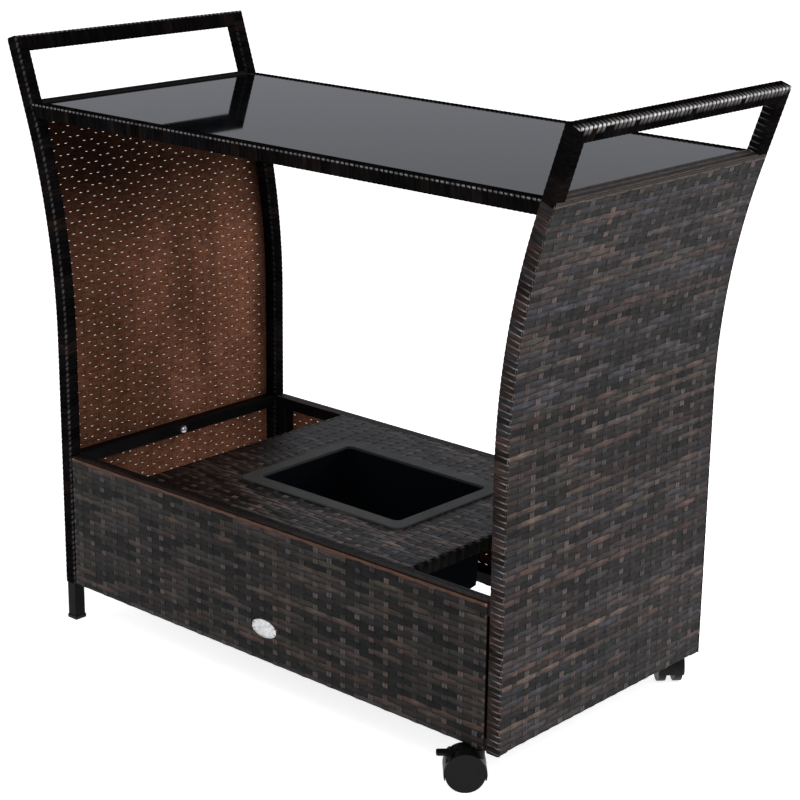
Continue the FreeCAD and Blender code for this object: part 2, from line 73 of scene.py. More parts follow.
# from the end of the bend to the fold over the top rail
foldRise = cart["railRise"] + cart["tube"] + cart["strip"]
foldDepth = cart["tube"] + 2 * cart["strip"]
bendStart = cart["tableTop"] - (cart["bendRadius"] + foldDepth) * leanSin - foldRise * leanCos
topRise = (cart["handleTop"] - bendStart - (cart["bendRadius"] + wrapped) * leanSin) / leanCos


# materials

def startMaterial(name):
    mat = bpy.data.materials.new(name)
    mat.use_nodes = True
    tree = mat.node_tree
    shader = tree.nodes["Principled BSDF"]
    return mat, tree, shader


def addNode(tree, kind, **settings):
    node = tree.nodes.new(kind)
    for key, value in settings.items():
        if key in node.inputs.keys():
            node.inputs[key].default_value = value
        else:
            setattr(node, key, value)
    return node


def noiseOn(tree, vector, scale, detail=3.0, stretch=None):
    if stretch:
        turned = addNode(tree, "ShaderNodeMapping")
        turned.inputs["Scale"].default_value = stretch
        tree.links.new(vector, turned.inputs["Vector"])
        vector = turned.outputs["Vector"]
    grain = addNode(tree, "ShaderNodeTexNoise", Scale=scale, Detail=detail)
    tree.links.new(vector, grain.inputs["Vector"])
    return grain.outputs["Fac"]


def ranged(tree, value, low, high, fromLow=0.3, fromHigh=0.7):
    spread = addNode(tree, "ShaderNodeMapRange")
    spread.inputs["From Min"].default_value = fromLow
    spread.inputs["From Max"].default_value = fromHigh
    spread.inputs["To Min"].default_value = low
    spread.inputs["To Max"].default_value = high
    tree.links.new(value, spread.inputs["Value"])
    return spread.outputs["Result"]


def bumpFrom(tree, shader, height, strength, distance):
    bump = addNode(tree, "ShaderNodeBump", Strength=strength, Distance=distance)
    tree.links.new(height, bump.inputs["Height"])
    tree.links.new(bump.outputs["Normal"], shader.inputs["Normal"])


def shaded(tree, color, factor):
    mix = addNode(tree, "ShaderNodeMix", data_type="RGBA", blend_type="MULTIPLY")
    mix.inputs["Factor"].default_value = 1.0
    tree.links.new(color, mix.inputs["A"])
    tree.links.new(factor, mix.inputs["B"])
    return mix.outputs["Result"]


stripLook = dict(roughLow=0.4, roughHigh=0.6, shine=0.1, paintedGlow=0.0)
wrapShine = dict(stripLook, roughLow=0.36, roughHigh=0.5, shine=0.0)
shelfShine = dict(stripLook, roughLow=0.35, roughHigh=0.5, shine=0.2)
innerLook = dict(
    stripLook,
    shine=0.0,
    paintedGlow=0.8,  # painted glow of light showing through from behind
    paintedGlowTint=(0.125, 0.05, 0.027, 1.0),
    endLight=(-0.33, -0.05, 1.0, 0.06),  # the painted glow fades from the left end along the cart
    rearLight=(-0.21, 0.19, 0.7, 1.5),  # the painted glow grows towards the rear
    topShade=(0.5, 0.63, 1.0, 0.2),  # painted shadow of the tabletop on the glow
)


# paints the glow of light showing through the strips into their colour: it fades along the cart, grows
# towards the rear, is shaded under the tabletop and is uneven in patches
def lightFromBehind(tree, tint, look):
    where = addNode(tree, "ShaderNodeTexCoord").outputs["Object"]
    axes = addNode(tree, "ShaderNodeSeparateXYZ")
    tree.links.new(where, axes.inputs["Vector"])
    for axis, fade in (("X", "endLight"), ("Y", "rearLight"), ("Z", "topShade")):
        start, end, first, last = look[fade]
        tint = shaded(tree, tint, ranged(tree, axes.outputs[axis], first, last, start, end))
    patches = noiseOn(tree, where, 1.0, 2.0, (9.0, 13.0, 4.0))
    return shaded(tree, tint, ranged(tree, patches, 0.65, 1.35))


def stripMaterial(name, look):
    mat, tree, shader = startMaterial(name)
    tint = addNode(tree, "ShaderNodeAttribute", attribute_name="strandTint").outputs["Color"]
    place = addNode(tree, "ShaderNodeAttribute", attribute_name="stripPlace").outputs["Vector"]
    # painted glow: the strip's colour is mixed towards a lit tint
    if look["paintedGlow"]:
        toned = addNode(tree, "ShaderNodeMix", data_type="RGBA")
        toned.inputs["Factor"].default_value = look["paintedGlow"]
        toned.inputs["B"].default_value = look["paintedGlowTint"]
        tree.links.new(tint, toned.inputs["A"])
        tint = lightFromBehind(tree, toned.outputs["Result"], look)
    streak = noiseOn(tree, place, 1.0, 4.0, (70.0, 5.0, 1.0))  # long streaks of the coloured plastic
    color = shaded(tree, tint, ranged(tree, streak, 0.5, 1.6))
    tree.links.new(color, shader.inputs["Base Color"])
    wear = noiseOn(tree, place, 1.0, 2.0, (240.0, 3.0, 1.0))
    tree.links.new(ranged(tree, wear, look["roughLow"], look["roughHigh"]), shader.inputs["Roughness"])
    ridges = noiseOn(tree, place, 1.0, 2.0, (30.0, 14.0, 1.0))  # drawn lines along the strip
    bumpFrom(tree, shader, ridges, 0.35, 0.0004)
    shader.inputs["Specular IOR Level"].default_value = look["shine"]
    return mat


patchScale = 22.0  # of the uneven patches on plain surfaces
grainDepth = 0.0003


def plainMaterial(
    name, color, roughLow, roughHigh, grain, bump,
    spread=(0.75, 1.25), metal=0.0, stretch=None, shine=0.5,
):
    mat, tree, shader = startMaterial(name)
    where = addNode(tree, "ShaderNodeTexCoord").outputs["Object"]
    patch = noiseOn(tree, where, patchScale, 4.0, stretch)
    base = addNode(tree, "ShaderNodeMix", data_type="RGBA")
    base.inputs["A"].default_value = tuple(c * spread[0] for c in color) + (1.0,)
    base.inputs["B"].default_value = tuple(c * spread[1] for c in color) + (1.0,)
    tree.links.new(ranged(tree, patch, 0.0, 1.0), base.inputs["Factor"])
    tree.links.new(base.outputs["Result"], shader.inputs["Base Color"])
    speckle = noiseOn(tree, where, grain, 2.0, stretch)
    tree.links.new(ranged(tree, patch, roughLow, roughHigh), shader.inputs["Roughness"])
    bumpFrom(tree, shader, speckle, bump, grainDepth)
    shader.inputs["Metallic"].default_value = metal
    shader.inputs["Specular IOR Level"].default_value = shine
    return mat


glassLook = dict(
    dark=(0.0025, 0.003, 0.004, 1.0),
    pale=(0.0035, 0.004, 0.0055, 1.0),
    roughLow=0.02,
    roughHigh=0.05,
    bending=1.27,
    shine=0.3,
)


def glassMaterial(name):
    mat, tree, shader = startMaterial(name)
    where = addNode(tree, "ShaderNodeTexCoord").outputs["Object"]
    haze = noiseOn(tree, where, 9.0, 5.0)
    base = addNode(tree, "ShaderNodeMix", data_type="RGBA")
    base.inputs["A"].default_value = glassLook["dark"]
    base.inputs["B"].default_value = glassLook["pale"]
    tree.links.new(ranged(tree, haze, 0.0, 1.0), base.inputs["Factor"])
    tree.links.new(base.outputs["Result"], shader.inputs["Base Color"])
    rough = ranged(tree, haze, glassLook["roughLow"], glassLook["roughHigh"])
    tree.links.new(rough, shader.inputs["Roughness"])
    shader.inputs["IOR"].default_value = glassLook["bending"]
    shader.inputs["Specular IOR Level"].default_value = glassLook["shine"]
    return mat


# painted light: the rim is drawn lighter as a painted highlight, and the body below it dark as painted
# shade
bucketLook = dict(
    rim=(0.047, 0.047, 0.044),
    well=(0.0045, 0.0055, 0.0075),
    rimFrom=0.2485,
    rimTo=0.2505,
    roughLow=0.42,
    roughHigh=0.58,
    grain=1600.0,
    bump=0.2,
    rimShine=0.2,
)


def bucketMaterial(name):
    mat, tree, shader = startMaterial(name)
    where = addNode(tree, "ShaderNodeTexCoord").outputs["Object"]
    axes = addNode(tree, "ShaderNodeSeparateXYZ")
    tree.links.new(where, axes.inputs["Vector"])
    # lighter rim as painted highlight, darker body as painted shade
    base = addNode(tree, "ShaderNodeMix", data_type="RGBA")
    base.inputs["A"].default_value = bucketLook["well"] + (1.0,)
    base.inputs["B"].default_value = bucketLook["rim"] + (1.0,)
    height = ranged(tree, axes.outputs["Z"], 0.0, 1.0, bucketLook["rimFrom"], bucketLook["rimTo"])
    tree.links.new(height, base.inputs["Factor"])
    speckle = noiseOn(tree, where, bucketLook["grain"], 2.0)
    color = shaded(tree, base.outputs["Result"], ranged(tree, speckle, 0.8, 1.2))
    tree.links.new(color, shader.inputs["Base Color"])
    patch = noiseOn(tree, where, patchScale)
    rough = ranged(tree, patch, bucketLook["roughLow"], bucketLook["roughHigh"])
    tree.links.new(rough, shader.inputs["Roughness"])
    bumpFrom(tree, shader, speckle, bucketLook["bump"], grainDepth)
    shine = ranged(tree, height, 0.0, bucketLook["rimShine"], 0.0, 1.0)
    tree.links.new(shine, shader.inputs["Specular IOR Level"])
    return mat


materials = {
    "woven_strip": stripMaterial("woven strip", stripLook),
    "wrap_strip": stripMaterial("wrapped strip", wrapShine),
    "black_steel": plainMaterial(
        "black powder coat", (0.0035, 0.0033, 0.0033), 0.34, 0.46, 1400.0, 0.12, shine=0.05,
    ),
    "dark_glass": glassMaterial("dark tempered glass"),
    "rubber": plainMaterial("pad rubber", (0.02, 0.02, 0.02), 0.7, 0.85, 900.0, 0.2),
    "black_plastic": plainMaterial(
        "moulded black plastic", (0.004, 0.004, 0.0045), 0.36, 0.5, 1100.0, 0.12, shine=0.12,
    ),
    "bucket_plastic": bucketMaterial("bucket plastic"),
    "bright_steel": plainMaterial("bright steel", (0.58, 0.58, 0.6), 0.18, 0.34, 500.0, 0.06, metal=1.0),
}
# strip colour with the painted glow of light from behind, for the inner faces
innerStrip = stripMaterial("strip seen from inside with painted glow", innerLook)
shelfStrip = stripMaterial("shelf strip", shelfShine)
plateSilver = plainMaterial(
    "plate silver", (0.5, 0.5, 0.5), 0.3, 0.45, 700.0, 0.08,
    spread=(0.7, 1.3), metal=1.0, stretch=(9.0, 1.0, 9.0),
)
print("materials ready")

for entry in frame["record"]["subparts"]:
    for slot in nodes[entry["node"]].material_slots:
        slot.material = materials[entry["material_slot"]]


# flat paths that bend: each leg is given as (length, turn to the left)
# and kept as (distance at its start, length, x, z, heading, turn)

def walk(start, heading, legs):
    path = []
    x, z = start
    at = 0.0
    for length, turn in legs:
        path.append((at, length, x, z, heading, turn))
        x, z, heading = stepAlong(path[-1], length)
        at += length
    return path


def stepAlong(leg, distance):
    at, length, x, z, heading, turn = leg
    if not turn:
        return x + distance * math.cos(heading), z + distance * math.sin(heading), heading
    radius = length / turn
    new = heading + distance / radius
    ahead = radius * (math.sin(new) - math.sin(heading))
    down = radius * (math.cos(new) - math.cos(heading))
    return x + ahead, z - down, new


def alongPath(path, distance):
    chosen = path[0]
    for leg in path[1:]:
        if distance >= leg[0]:
            chosen = leg
    return stepAlong(chosen, distance - chosen[0])


def pathLength(path):
    return path[-1][0] + path[-1][1]


# woven sheets of flat strips

weaveLook = dict(
    rowPitch=7.8,
    rowWidth=7.85,
    columnPitch=23.06,
    columnWidth=8.0,
    thick=0.6,
    rowStart=0.0,  # middle of the first row
    overhang=0.6,  # of the first and last row past the sheet
    rowLift=0.46,  # how far a row rises and sinks
    columnLift=0.4,
    rowBend=0.4,  # share of a pitch in which a strip comes back level
    columnBend=0.5,
    crown=0.14,  # height of a strip's middle over its edges
    rowSteps=6,  # faces along a strip for each crossing
    columnSteps=3,
    notch=0.0,  # taken from a row's upper edge beside a column
    notchSpot=2.0 / 7.0,
    notchNear=0.1,
    swell=0.16,  # rows are wider where they lie on top
    over=0.3,  # painted highlight where a row lies on top
    under=0.7,  # painted shade where it lies behind
    patch=0.3,  # uneven brightness from crossing to crossing
    highEdge=1.15,  # painted highlight on a row's upper edge
    lowEdge=0.1,  # painted shade on its lower edge
    spotMiddle=0.75,  # brightness of a column's middle
    spotEdge=1.3,  # and of its edges
    spotSpread=0.6,
    foldEdge=1.6,  # painted light on the plain rows on a fold: this at their edges, foldMiddle at their middles
    foldMiddle=0.3,
    gain=0.56,  # brightness of the whole sheet
    run=130.0,  # how far a row keeps its colour
    calmWidth=12.0,  # rows lie flat this near the sides of an end
    glintNear=1.0,  # length of a row's painted glint at its end
)
# leaves pinholes of light beside the columns
openLook = dict(weaveLook, notch=0.65, rowSteps=7, columnSteps=2)
panelLook = dict(
    weaveLook,
    columnPitch=24.31,
    rowStart=4.7,
    gain=0.5,
    run=45.0,
    patch=0.4,
    foldEdge=0.6,
    foldMiddle=1.0,
    spotMiddle=0.65,
    spotEdge=1.05,
)
openPanelLook = dict(panelLook, notch=openLook["notch"], rowSteps=7, columnSteps=2)
shelfLook = dict(
    panelLook,
    columnPitch=24.0,
    rowPitch=7.89,
    rowStart=3.45,
    gain=1.15,
    # stronger painted shade under the rows and on their lower edges, stronger painted highlight on their
    # upper edges
    under=0.4,
    highEdge=2.1,
    lowEdge=0.05,
)
strandColors = [
    (0.034, 0.026, 0.025),
    (0.098, 0.058, 0.047),
    (0.050, 0.050, 0.061),
    (0.052, 0.046, 0.036),
    (0.016, 0.013, 0.014),
    (0.065, 0.055, 0.056),
    (0.140, 0.096, 0.074),
]
strands = (strandColors, [5, 3, 4, 3, 3, 5, 2])
panelColors = [
    (0.032, 0.025, 0.021),
    (0.060, 0.034, 0.027),
    (0.026, 0.027, 0.024),
    (0.046, 0.037, 0.026),
    (0.012, 0.010, 0.009),
    (0.045, 0.033, 0.032),
    (0.080, 0.052, 0.037),
]
panelStrands = (panelColors, [6, 4, 4, 3, 4, 4, 1])
spotColors = [
    (0.090, 0.070, 0.062),
    (0.070, 0.062, 0.062),
    (0.105, 0.070, 0.056),
    (0.045, 0.040, 0.040),
]
spotStrands = (spotColors, [3, 4, 2, 3])
paleStrands = ([(0.085, 0.064, 0.052), (0.065, 0.050, 0.043), (0.030, 0.024, 0.022)], [3, 4, 2])
edgeStrands = ([(0.150, 0.066, 0.038), (0.120, 0.058, 0.036), (0.095, 0.052, 0.036)], [3, 3, 2])
darkStrands = ([(0.010, 0.008, 0.008), (0.022, 0.016, 0.014), (0.040, 0.030, 0.025)], [4, 3, 1])
strandRun = 75.0  # how far a strip keeps its colour
edgeLane = 0.4  # beyond this a vertex lies on the edge of its strip
stripLanes = 2  # faces across a woven strip
stripSharp = math.radians(40.0)


def strandColor(pair, along, tone, run=strandRun):
    blend = 0.5 + 0.9 * noise.noise(Vector((along / run, pair[2], 0.0)))
    blend = min(1.0, max(0.0, blend))
    return tuple((a + (b - a) * blend) * tone for a, b in zip(pair[0], pair[1])) + (1.0,)


def pickPair(dice, kind):
    first, second = dice.choices(*kind, k=2)
    return first, second, dice.uniform(0.0, 900.0)  # its place in the noise


def overUnder(phase, width):
    nearest = round(phase)
    aside = min(1.0, abs(phase - nearest) / width)
    bump = math.cos(aside * math.pi / 2) ** 2
    return bump if nearest % 2 == 0 else -bump


def stripSheet():
    bm = bmesh.new()
    tint = bm.verts.layers.float_color.new("strandTint")
    place = bm.verts.layers.float_vector.new("stripPlace")
    return bm, tint, place


def layStrip(sheet, length, segments, lanes, pair, spot, tone, run=strandRun):
    bm, tint, place = sheet
    made = bmesh.ops.create_grid(bm, x_segments=segments, y_segments=lanes, size=0.5)["verts"]
    for vert in made:
        along = (vert.co.x + 0.5) * length
        across = vert.co.y
        vert[tint] = strandColor(pair, along, tone(along, across), run)
        vert[place] = (along * mm, across, pair[2])
        vert.co = spot(along, across) * mm


def finishPiece(sheet, name, thick, material, inner=None):
    bm = sheet[0]
    outside = set(bm.faces)
    bmesh.ops.solidify(bm, geom=bm.faces[:], thickness=thick * mm)
    for face in bm.faces:
        face.smooth = True
        face.material_index = 0 if face in outside or not inner else 1
    mesh = bpy.data.meshes.new(name)
    bm.to_mesh(mesh)
    bm.free()
    mesh.set_sharp_from_angle(angle=stripSharp)
    mesh.materials.append(material)
    if inner:
        mesh.materials.append(inner)
    piece = bpy.data.objects.new(name, mesh)
    bpy.context.scene.collection.objects.link(piece)
    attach(piece, "cart")
    return piece


def alwaysOne(u, v):
    return 1.0


def weaveRows(sheet, look, dice, rows, spot, kindAt, waveShare=alwaysOne, toneAt=alwaysOne, glint=0.0):
    for index, v, low, high in rows:
        segments = max(2, round((high - low) / look["columnPitch"] * look["rowSteps"]))
        pair = pickPair(dice, kindAt(v))
        length = high - low

        def waveAt(along):
            phase = (low + along) / look["columnPitch"] + index
            return waveShare(low + along, v) * overUnder(phase, look["rowBend"])

        def onRow(along, across):
            phase = (low + along) / look["columnPitch"] + index
            crown = 1.0 - 4.0 * across * across
            reach = across * look["rowWidth"] * (1.0 + look["swell"] * waveAt(along))
            aside = abs(phase % 2.0 - 1.0)  # from the nearest column that the row runs behind
            nearNotch = abs(aside - look["notchSpot"]) < look["notchNear"]
            if nearNotch and across > edgeLane and waveShare(low + along, v) == 1.0:
                reach -= look["notch"]
            return spot(low + along, v + reach, look["rowLift"] * waveAt(along) + look["crown"] * crown)

        # painted light on a row: a glint at its ends, a painted highlight where it lies on top and along
        # its upper edge, painted shade where it lies behind and along its lower edge; rows on a fold get
        # the fold's painted light
        def rowTone(along, across):
            atEnd = min(along, length - along) < look["glintNear"]
            if glint and atEnd and index % 2 == 0 and abs(across) < edgeLane:
                return glint
            tone = look["gain"] * toneAt(low + along, v)
            if waveShare(0.0, v) == 0.0:
                return tone * (look["foldEdge"] if abs(across) > edgeLane else look["foldMiddle"])
            brick = math.floor(((low + along) / look["columnPitch"] + index + 1.0) / 2.0)
            chance = noise.cell(Vector((brick + 0.5, index + 0.5, pair[2])))
            tone *= 1.0 + look["patch"] * (2.0 * chance - 1.0)
            wave = waveAt(along)
            tone *= 1.0 + look["over"] * max(0.0, wave) + (1.0 - look["under"]) * min(0.0, wave)
            if across > edgeLane:
                return tone * look["highEdge"]
            return tone * (look["lowEdge"] if across < -edgeLane else 1.0)

        layStrip(sheet, length, segments, stripLanes, pair, onRow, rowTone, look["run"])


def weaveColumns(sheet, look, dice, columns, spot, toneAt=alwaysOne):
    for index, u, low, high in columns:
        segments = max(2, round((high - low) / look["rowPitch"] * look["columnSteps"]))

        def onColumn(along, across):
            row = (low + along - look["rowStart"]) / look["rowPitch"]
            wave = overUnder(row + index, look["columnBend"])
            crown = 1.0 - 4.0 * across * across
            lift = look["crown"] * crown - look["columnLift"] * wave
            return spot(u - across * look["columnWidth"], low + along, lift)

        def columnTone(along, across):
            row = round((low + along - look["rowStart"]) / look["rowPitch"])
            chance = noise.cell(Vector((u, row + 0.5, 0.5)))
            tone = look["gain"] * toneAt(u, low + along) * (1.0 - look["spotSpread"] * chance)
            return tone * (look["spotEdge"] if abs(across) > edgeLane else look["spotMiddle"])

        pair = pickPair(dice, spotStrands)
        layStrip(sheet, high - low, segments, stripLanes, pair, onColumn, columnTone)


def rowList(look, length, halfWidth):
    rows = []
    for index in range(int(length / look["rowPitch"]) + 1):
        v = look["rowStart"] + index * look["rowPitch"]
        if abs(v - length / 2) <= (length - look["rowWidth"]) / 2 + look["overhang"]:
            half = halfWidth(v)
            rows.append((index, v, -half, half))
    return rows


def columnList(look, half, span):
    count = int((half - look["columnWidth"] / 2) / look["columnPitch"])
    columns = []
    for index in range(-count, count + 1):
        u = index * look["columnPitch"]
        low, high = span(abs(u))
        columns.append((index, u, low, high))
    return columns


bendOfFold = cart["tubeCorner"] + cart["strip"] / 2  # radius of a fold at the middle of the sheet
quarter = math.pi / 2
fold = (bendOfFold * quarter, quarter)
lip = cart["tube"] + cart["strip"] / 2 - bendOfFold  # straight part of a folded-over lip


# woven ends: up the outside, over the top rail and down behind it
# glint is the tone of the painted highlight at the ends of rows
endSizes = dict(rowEnd=1.2, columnStop=2.0, glint=6.0)


def endPath():
    rise = foldRise - cart["strip"] / 2 - bendOfFold
    start = (cart["halfBase"] - cart["strip"] - cart["tube"], cart["boxBottom"] + cart["strip"] / 2)
    middle = (cart["bendRadius"] + cart["strip"] / 2) * cart["lean"]
    legs = [
        (lip, 0.0),
        fold,
        (bendStart - start[1] - bendOfFold, 0.0),
        (middle, -cart["lean"]),
        (rise, 0.0),
        fold,
        (lip - cart["tubeCorner"], 0.0),
        fold,
        (lip, 0.0),
    ]
    return walk(start, 0.0, legs)


def wovenEnd(name, side, seed, look, top, glint=0.0, inner=None):
    path = endPath()
    total = pathLength(path)
    lowerFold = path[1][0]
    upperFold = path[5][0]
    faceTop = upperFold + fold[0] / 2
    narrow = cart["halfDepth"] - wrapped

    def halfWidth(v):
        return cart["halfDepth"] - endSizes["rowEnd"] if lowerFold <= v < faceTop else narrow

    def span(u):
        return 0.0, upperFold - endSizes["columnStop"]

    def spot(u, v, lift):
        x, z, heading = alongPath(path, v)
        return Vector((side * (x + lift * math.sin(heading)), u, z - lift * math.cos(heading)))

    sheet = stripSheet()
    dice = random.Random(seed)
    rows = rowList(look, total, halfWidth)

    def waveShare(u, v):
        if v > faceTop - look["rowWidth"] / 2:
            return 0.0
        return min(1.0, max(0.0, (cart["halfDepth"] - abs(u)) / look["calmWidth"] - 1.0))

    def kindAt(v):
        return strands if waveShare(0.0, v) else top

    weaveRows(sheet, look, dice, rows, spot, kindAt, waveShare, glint=glint)
    weaveColumns(sheet, look, dice, columnList(look, narrow, span), spot)
    if side < 0:  # the mirrored sheet faces inwards
        bmesh.ops.reverse_faces(sheet[0], faces=sheet[0].faces[:])
    piece = finishPiece(sheet, name + "EndStrips", look["thick"], materials["woven_strip"], inner)
    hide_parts(name + "_end_weave")


# the plain rows on the right end's fold are drawn in pale strands and those on the left end's fold in
# dark strands: painted light and painted shade
wovenEnd("right", 1, 11, weaveLook, paleStrands, glint=endSizes["glint"])
wovenEnd("left", -1, 12, openLook, darkStrands, inner=innerStrip)
print("woven ends ready")


# woven box panels, folded over the upper and lower rails
# glint is the tone of the painted highlight at the ends of rows
panelSizes = dict(half=378.6, edge=3.5, glint=2.0)


def wovenPanel(name, side, seed, look, inner=None):
    start = (cart["halfDepth"] - cart["strip"] - cart["tube"], cart["boxBottom"] + cart["strip"] / 2)
    tall = cart["boxTop"] - cart["boxBottom"] - cart["strip"] - 2 * bendOfFold
    path = walk(start, 0.0, [(lip, 0.0), fold, (tall, 0.0), fold, (lip, 0.0)])
    total = pathLength(path)
    faceTop = path[3][0]  # where the upper fold starts

    def spot(u, v, lift):
        y, z, heading = alongPath(path, v)
        return Vector((u, side * (y + lift * math.sin(heading)), z - lift * math.cos(heading)))

    sheet = stripSheet()
    dice = random.Random(seed)
    rows = rowList(look, total, lambda v: panelSizes["half"])
    columns = columnList(look, panelSizes["half"], lambda u: (0.0, faceTop - panelSizes["edge"]))

    def kindAt(v):
        return edgeStrands if abs(v - faceTop) < panelSizes["edge"] else panelStrands

    def waveShare(u, v):
        return 0.0 if v > faceTop - panelSizes["edge"] else 1.0

    weaveRows(sheet, look, dice, rows, spot, kindAt, waveShare, glint=panelSizes["glint"])
    weaveColumns(sheet, look, dice, columns, spot)
    if side > 0:  # laid facing inwards on this side
        bmesh.ops.reverse_faces(sheet[0], faces=sheet[0].faces[:])
    piece = finishPiece(sheet, name + "PanelStrips", look["thick"], materials["woven_strip"], inner)
    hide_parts(name + "_weave")


wovenPanel("front", -1, 21, panelLook)
wovenPanel("back", 1, 22, openPanelLook, innerStrip)
print("woven panels ready")


# woven shelf with the opening for the bucket
# painted shade: the folded lips of the shelf are drawn dark, and the shelf darkens towards the left as a
# painted shadow of the left end
shelfSizes = dict(half=242.5, reach=193.5, holeX=137.0, holeY=100.0, lipShade=0.1, leftShade=0.7)


def wovenShelf(seed, look):
    start = (shelfSizes["half"] - cart["strip"] / 2, cart["boxTop"] - cart["strip"] - cart["tube"])
    flat = 2 * (start[0] - bendOfFold)
    path = walk(start, quarter, [(lip, 0.0), fold, (flat, 0.0), fold, (lip, 0.0)])
    total = pathLength(path)

    def spot(u, v, lift):
        x, z, heading = alongPath(path, u + total / 2)
        y = v - shelfSizes["reach"]
        return Vector((x + lift * math.sin(heading), y, z - lift * math.cos(heading)))

    sheet = stripSheet()
    dice = random.Random(seed)
    wide = 2 * shelfSizes["reach"]

    # painted shade on the lips and painted shadow towards the left
    def toneAt(u, v):
        if abs(u) > flat / 2:
            return shelfSizes["lipShade"]
        return 1.0 - shelfSizes["leftShade"] * min(1.0, max(0.0, u / shelfSizes["half"]))

    rows = rowList(look, wide, lambda v: total / 2)
    columns = columnList(look, total / 2, lambda u: (0.0, wide))
    weaveRows(sheet, look, dice, rows, spot, lambda v: panelStrands, toneAt=toneAt)
    weaveColumns(sheet, look, dice, columns, spot, toneAt)
    inside = []
    for face in sheet[0].faces:
        middle = face.calc_center_median() / mm
        if abs(middle.x) < shelfSizes["holeX"] and abs(middle.y) < shelfSizes["holeY"]:
            inside.append(face)
    bmesh.ops.delete(sheet[0], geom=inside, context="FACES")
    bmesh.ops.reverse_faces(sheet[0], faces=sheet[0].faces[:])
    piece = finishPiece(sheet, "shelfStrips", look["thick"], shelfStrip)
    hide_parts("shelf_weave")


wovenShelf(31, shelfLook)
print("woven shelf ready")


# strip wound round the legs, handles and tabletop rails
wrapLook = dict(
    pitch=7.8,
    width=7.5,
    thick=0.8,
    crown=0.4,
    corner=3.2,
    steps=16,
    perTurn=100.0,  # stands for the strip's length in a turn, for its streaks
    # the painted highlights: how far they fade along the tube past litTo, their colour and their least
    # strength
    fade=120.0,
    glint=(0.62, 0.59, 0.57),
    leastGlint=0.4,
    faceEnd=0.6,  # share of a side where the painted highlight on a face falls off
    faceDim=0.35,
    cornerFrom=0.2,  # shares of a side where the painted highlight on a corner is brightest
    cornerTo=0.3,
    cornerEnd=0.55,
    underFrom=0.8,  # share of a turn from which the strip lies under the woven end
)
wrapStrands = ([
    (0.0026, 0.0023, 0.0023),
    (0.0036, 0.0030, 0.0030),
    (0.0060, 0.0046, 0.0044),
    (0.0040, 0.0040, 0.0047),
    (0.0100, 0.0066, 0.0055),
], [6, 5, 2, 3, 1])
# paler, browner strands for the lit part of a leg: painted light
litLegStrands = ([
    (0.012, 0.009, 0.008),
    (0.022, 0.015, 0.013),
    (0.034, 0.023, 0.02),
    (0.02, 0.019, 0.02),
], [4, 4, 2, 3])
laneSpots = [-0.5, -0.15, 0.2, 0.4, 0.5]  # across the strip; on a face the painted highlight lies on the fourth
wrapLanes = len(laneSpots) - 1


def squareSpot(look, turn):
    part = (turn % 1.0) * 4.0
    side = int(part)
    share = part - side
    half = wrapped / 2
    inner = half - look["corner"]
    if share < 0.5:
        angle = share * 2.0 * quarter
        p = inner + look["corner"] * math.cos(angle)
        q = inner + look["corner"] * math.sin(angle)
        lift = (math.cos(angle), math.sin(angle))
    else:
        p = inner - (share - 0.5) * 4.0 * inner
        q = half
        lift = (0.0, 1.0)
    for _ in range(side):
        p, q = -q, p
        lift = (-lift[1], lift[0])
    return p, q, lift


def woundStrip(name, seed, length, frameAt, cuts, flip, node, lit, openTo=None):
    look = wrapLook
    faces = lit.get("faces", {})
    corners = lit.get("corners", {})
    spread = lit.get("spread", 0.0)
    litTo = lit.get("litTo")
    turns = math.ceil(length / look["pitch"]) + 1
    perTurn = look["perTurn"]
    sheet = stripSheet()
    dice = random.Random(seed)
    pair = pickPair(dice, wrapStrands)

    def onWrap(along, across):
        turn = along / perTurn
        p, q, lift = squareSpot(look, turn)
        lane = laneSpots[round((across + 0.5) * wrapLanes)]
        grow = look["crown"] * (-4.0 * lane * lane) - look["thick"] / 2
        middle, first, second = frameAt(turn * look["pitch"] + lane * look["width"])
        return middle + first * (p + lift[0] * grow) + second * (q + lift[1] * grow)

    layStrip(sheet, turns * perTurn, turns * look["steps"], wrapLanes, pair, onWrap, alwaysOne)
    bm, tint, place = sheet
    tones = []
    # paler, browner strands on the lit part of the leg: painted light
    for turn in range(turns + 1):
        pale = litTo and 2 * turn * look["pitch"] < litTo
        tones.append(pickPair(dice, litLegStrands if pale else wrapStrands))
    for vert in bm.verts:
        along = vert[place].x / mm
        lane = round((vert[place].y + 0.5) * wrapLanes)
        part = (along / perTurn % 1.0) * 4.0
        side = int(part)
        share = part % 1.0
        color = Vector(strandColor(tones[int(along / perTurn / 2)], along, 1.0))
        # painted highlights: the glint colour is mixed into the strip on the given faces and corners,
        # fading out past litTo
        amount = 0.0
        if lane == 3:
            amount = faces.get(side, 0.0) * (1.0 if share < look["faceEnd"] else look["faceDim"])
        if lane in (1, 2) and share < look["cornerEnd"]:
            bright = look["cornerFrom"] < share < look["cornerTo"]
            amount = corners.get(side, 0.0) * (1.0 if bright else spread)
        if litTo:
            amount *= min(1.0, max(0.0, (litTo - along / perTurn * look["pitch"]) / look["fade"]))
        amount *= look["leastGlint"] + dice.random()
        vert[tint] = color.lerp(Vector(look["glint"] + (1.0,)), min(1.0, amount))
    if openTo:
        under = []
        for face in bm.faces:
            turn = sum(v[place].x for v in face.verts) / (len(face.verts) * mm * perTurn)
            if turn * look["pitch"] < openTo and turn % 1.0 > look["underFrom"]:
                under.append(face)
        bmesh.ops.delete(bm, geom=under, context="FACES")
    for spot, facing in cuts:
        whole = bm.verts[:] + bm.edges[:] + bm.faces[:]
        bmesh.ops.bisect_plane(bm, geom=whole, plane_co=spot * mm, plane_no=facing, clear_outer=True)
    if flip:
        bmesh.ops.reverse_faces(bm, faces=bm.faces[:])
    piece = finishPiece(sheet, name, look["thick"], materials["wrap_strip"])
    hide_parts(node)


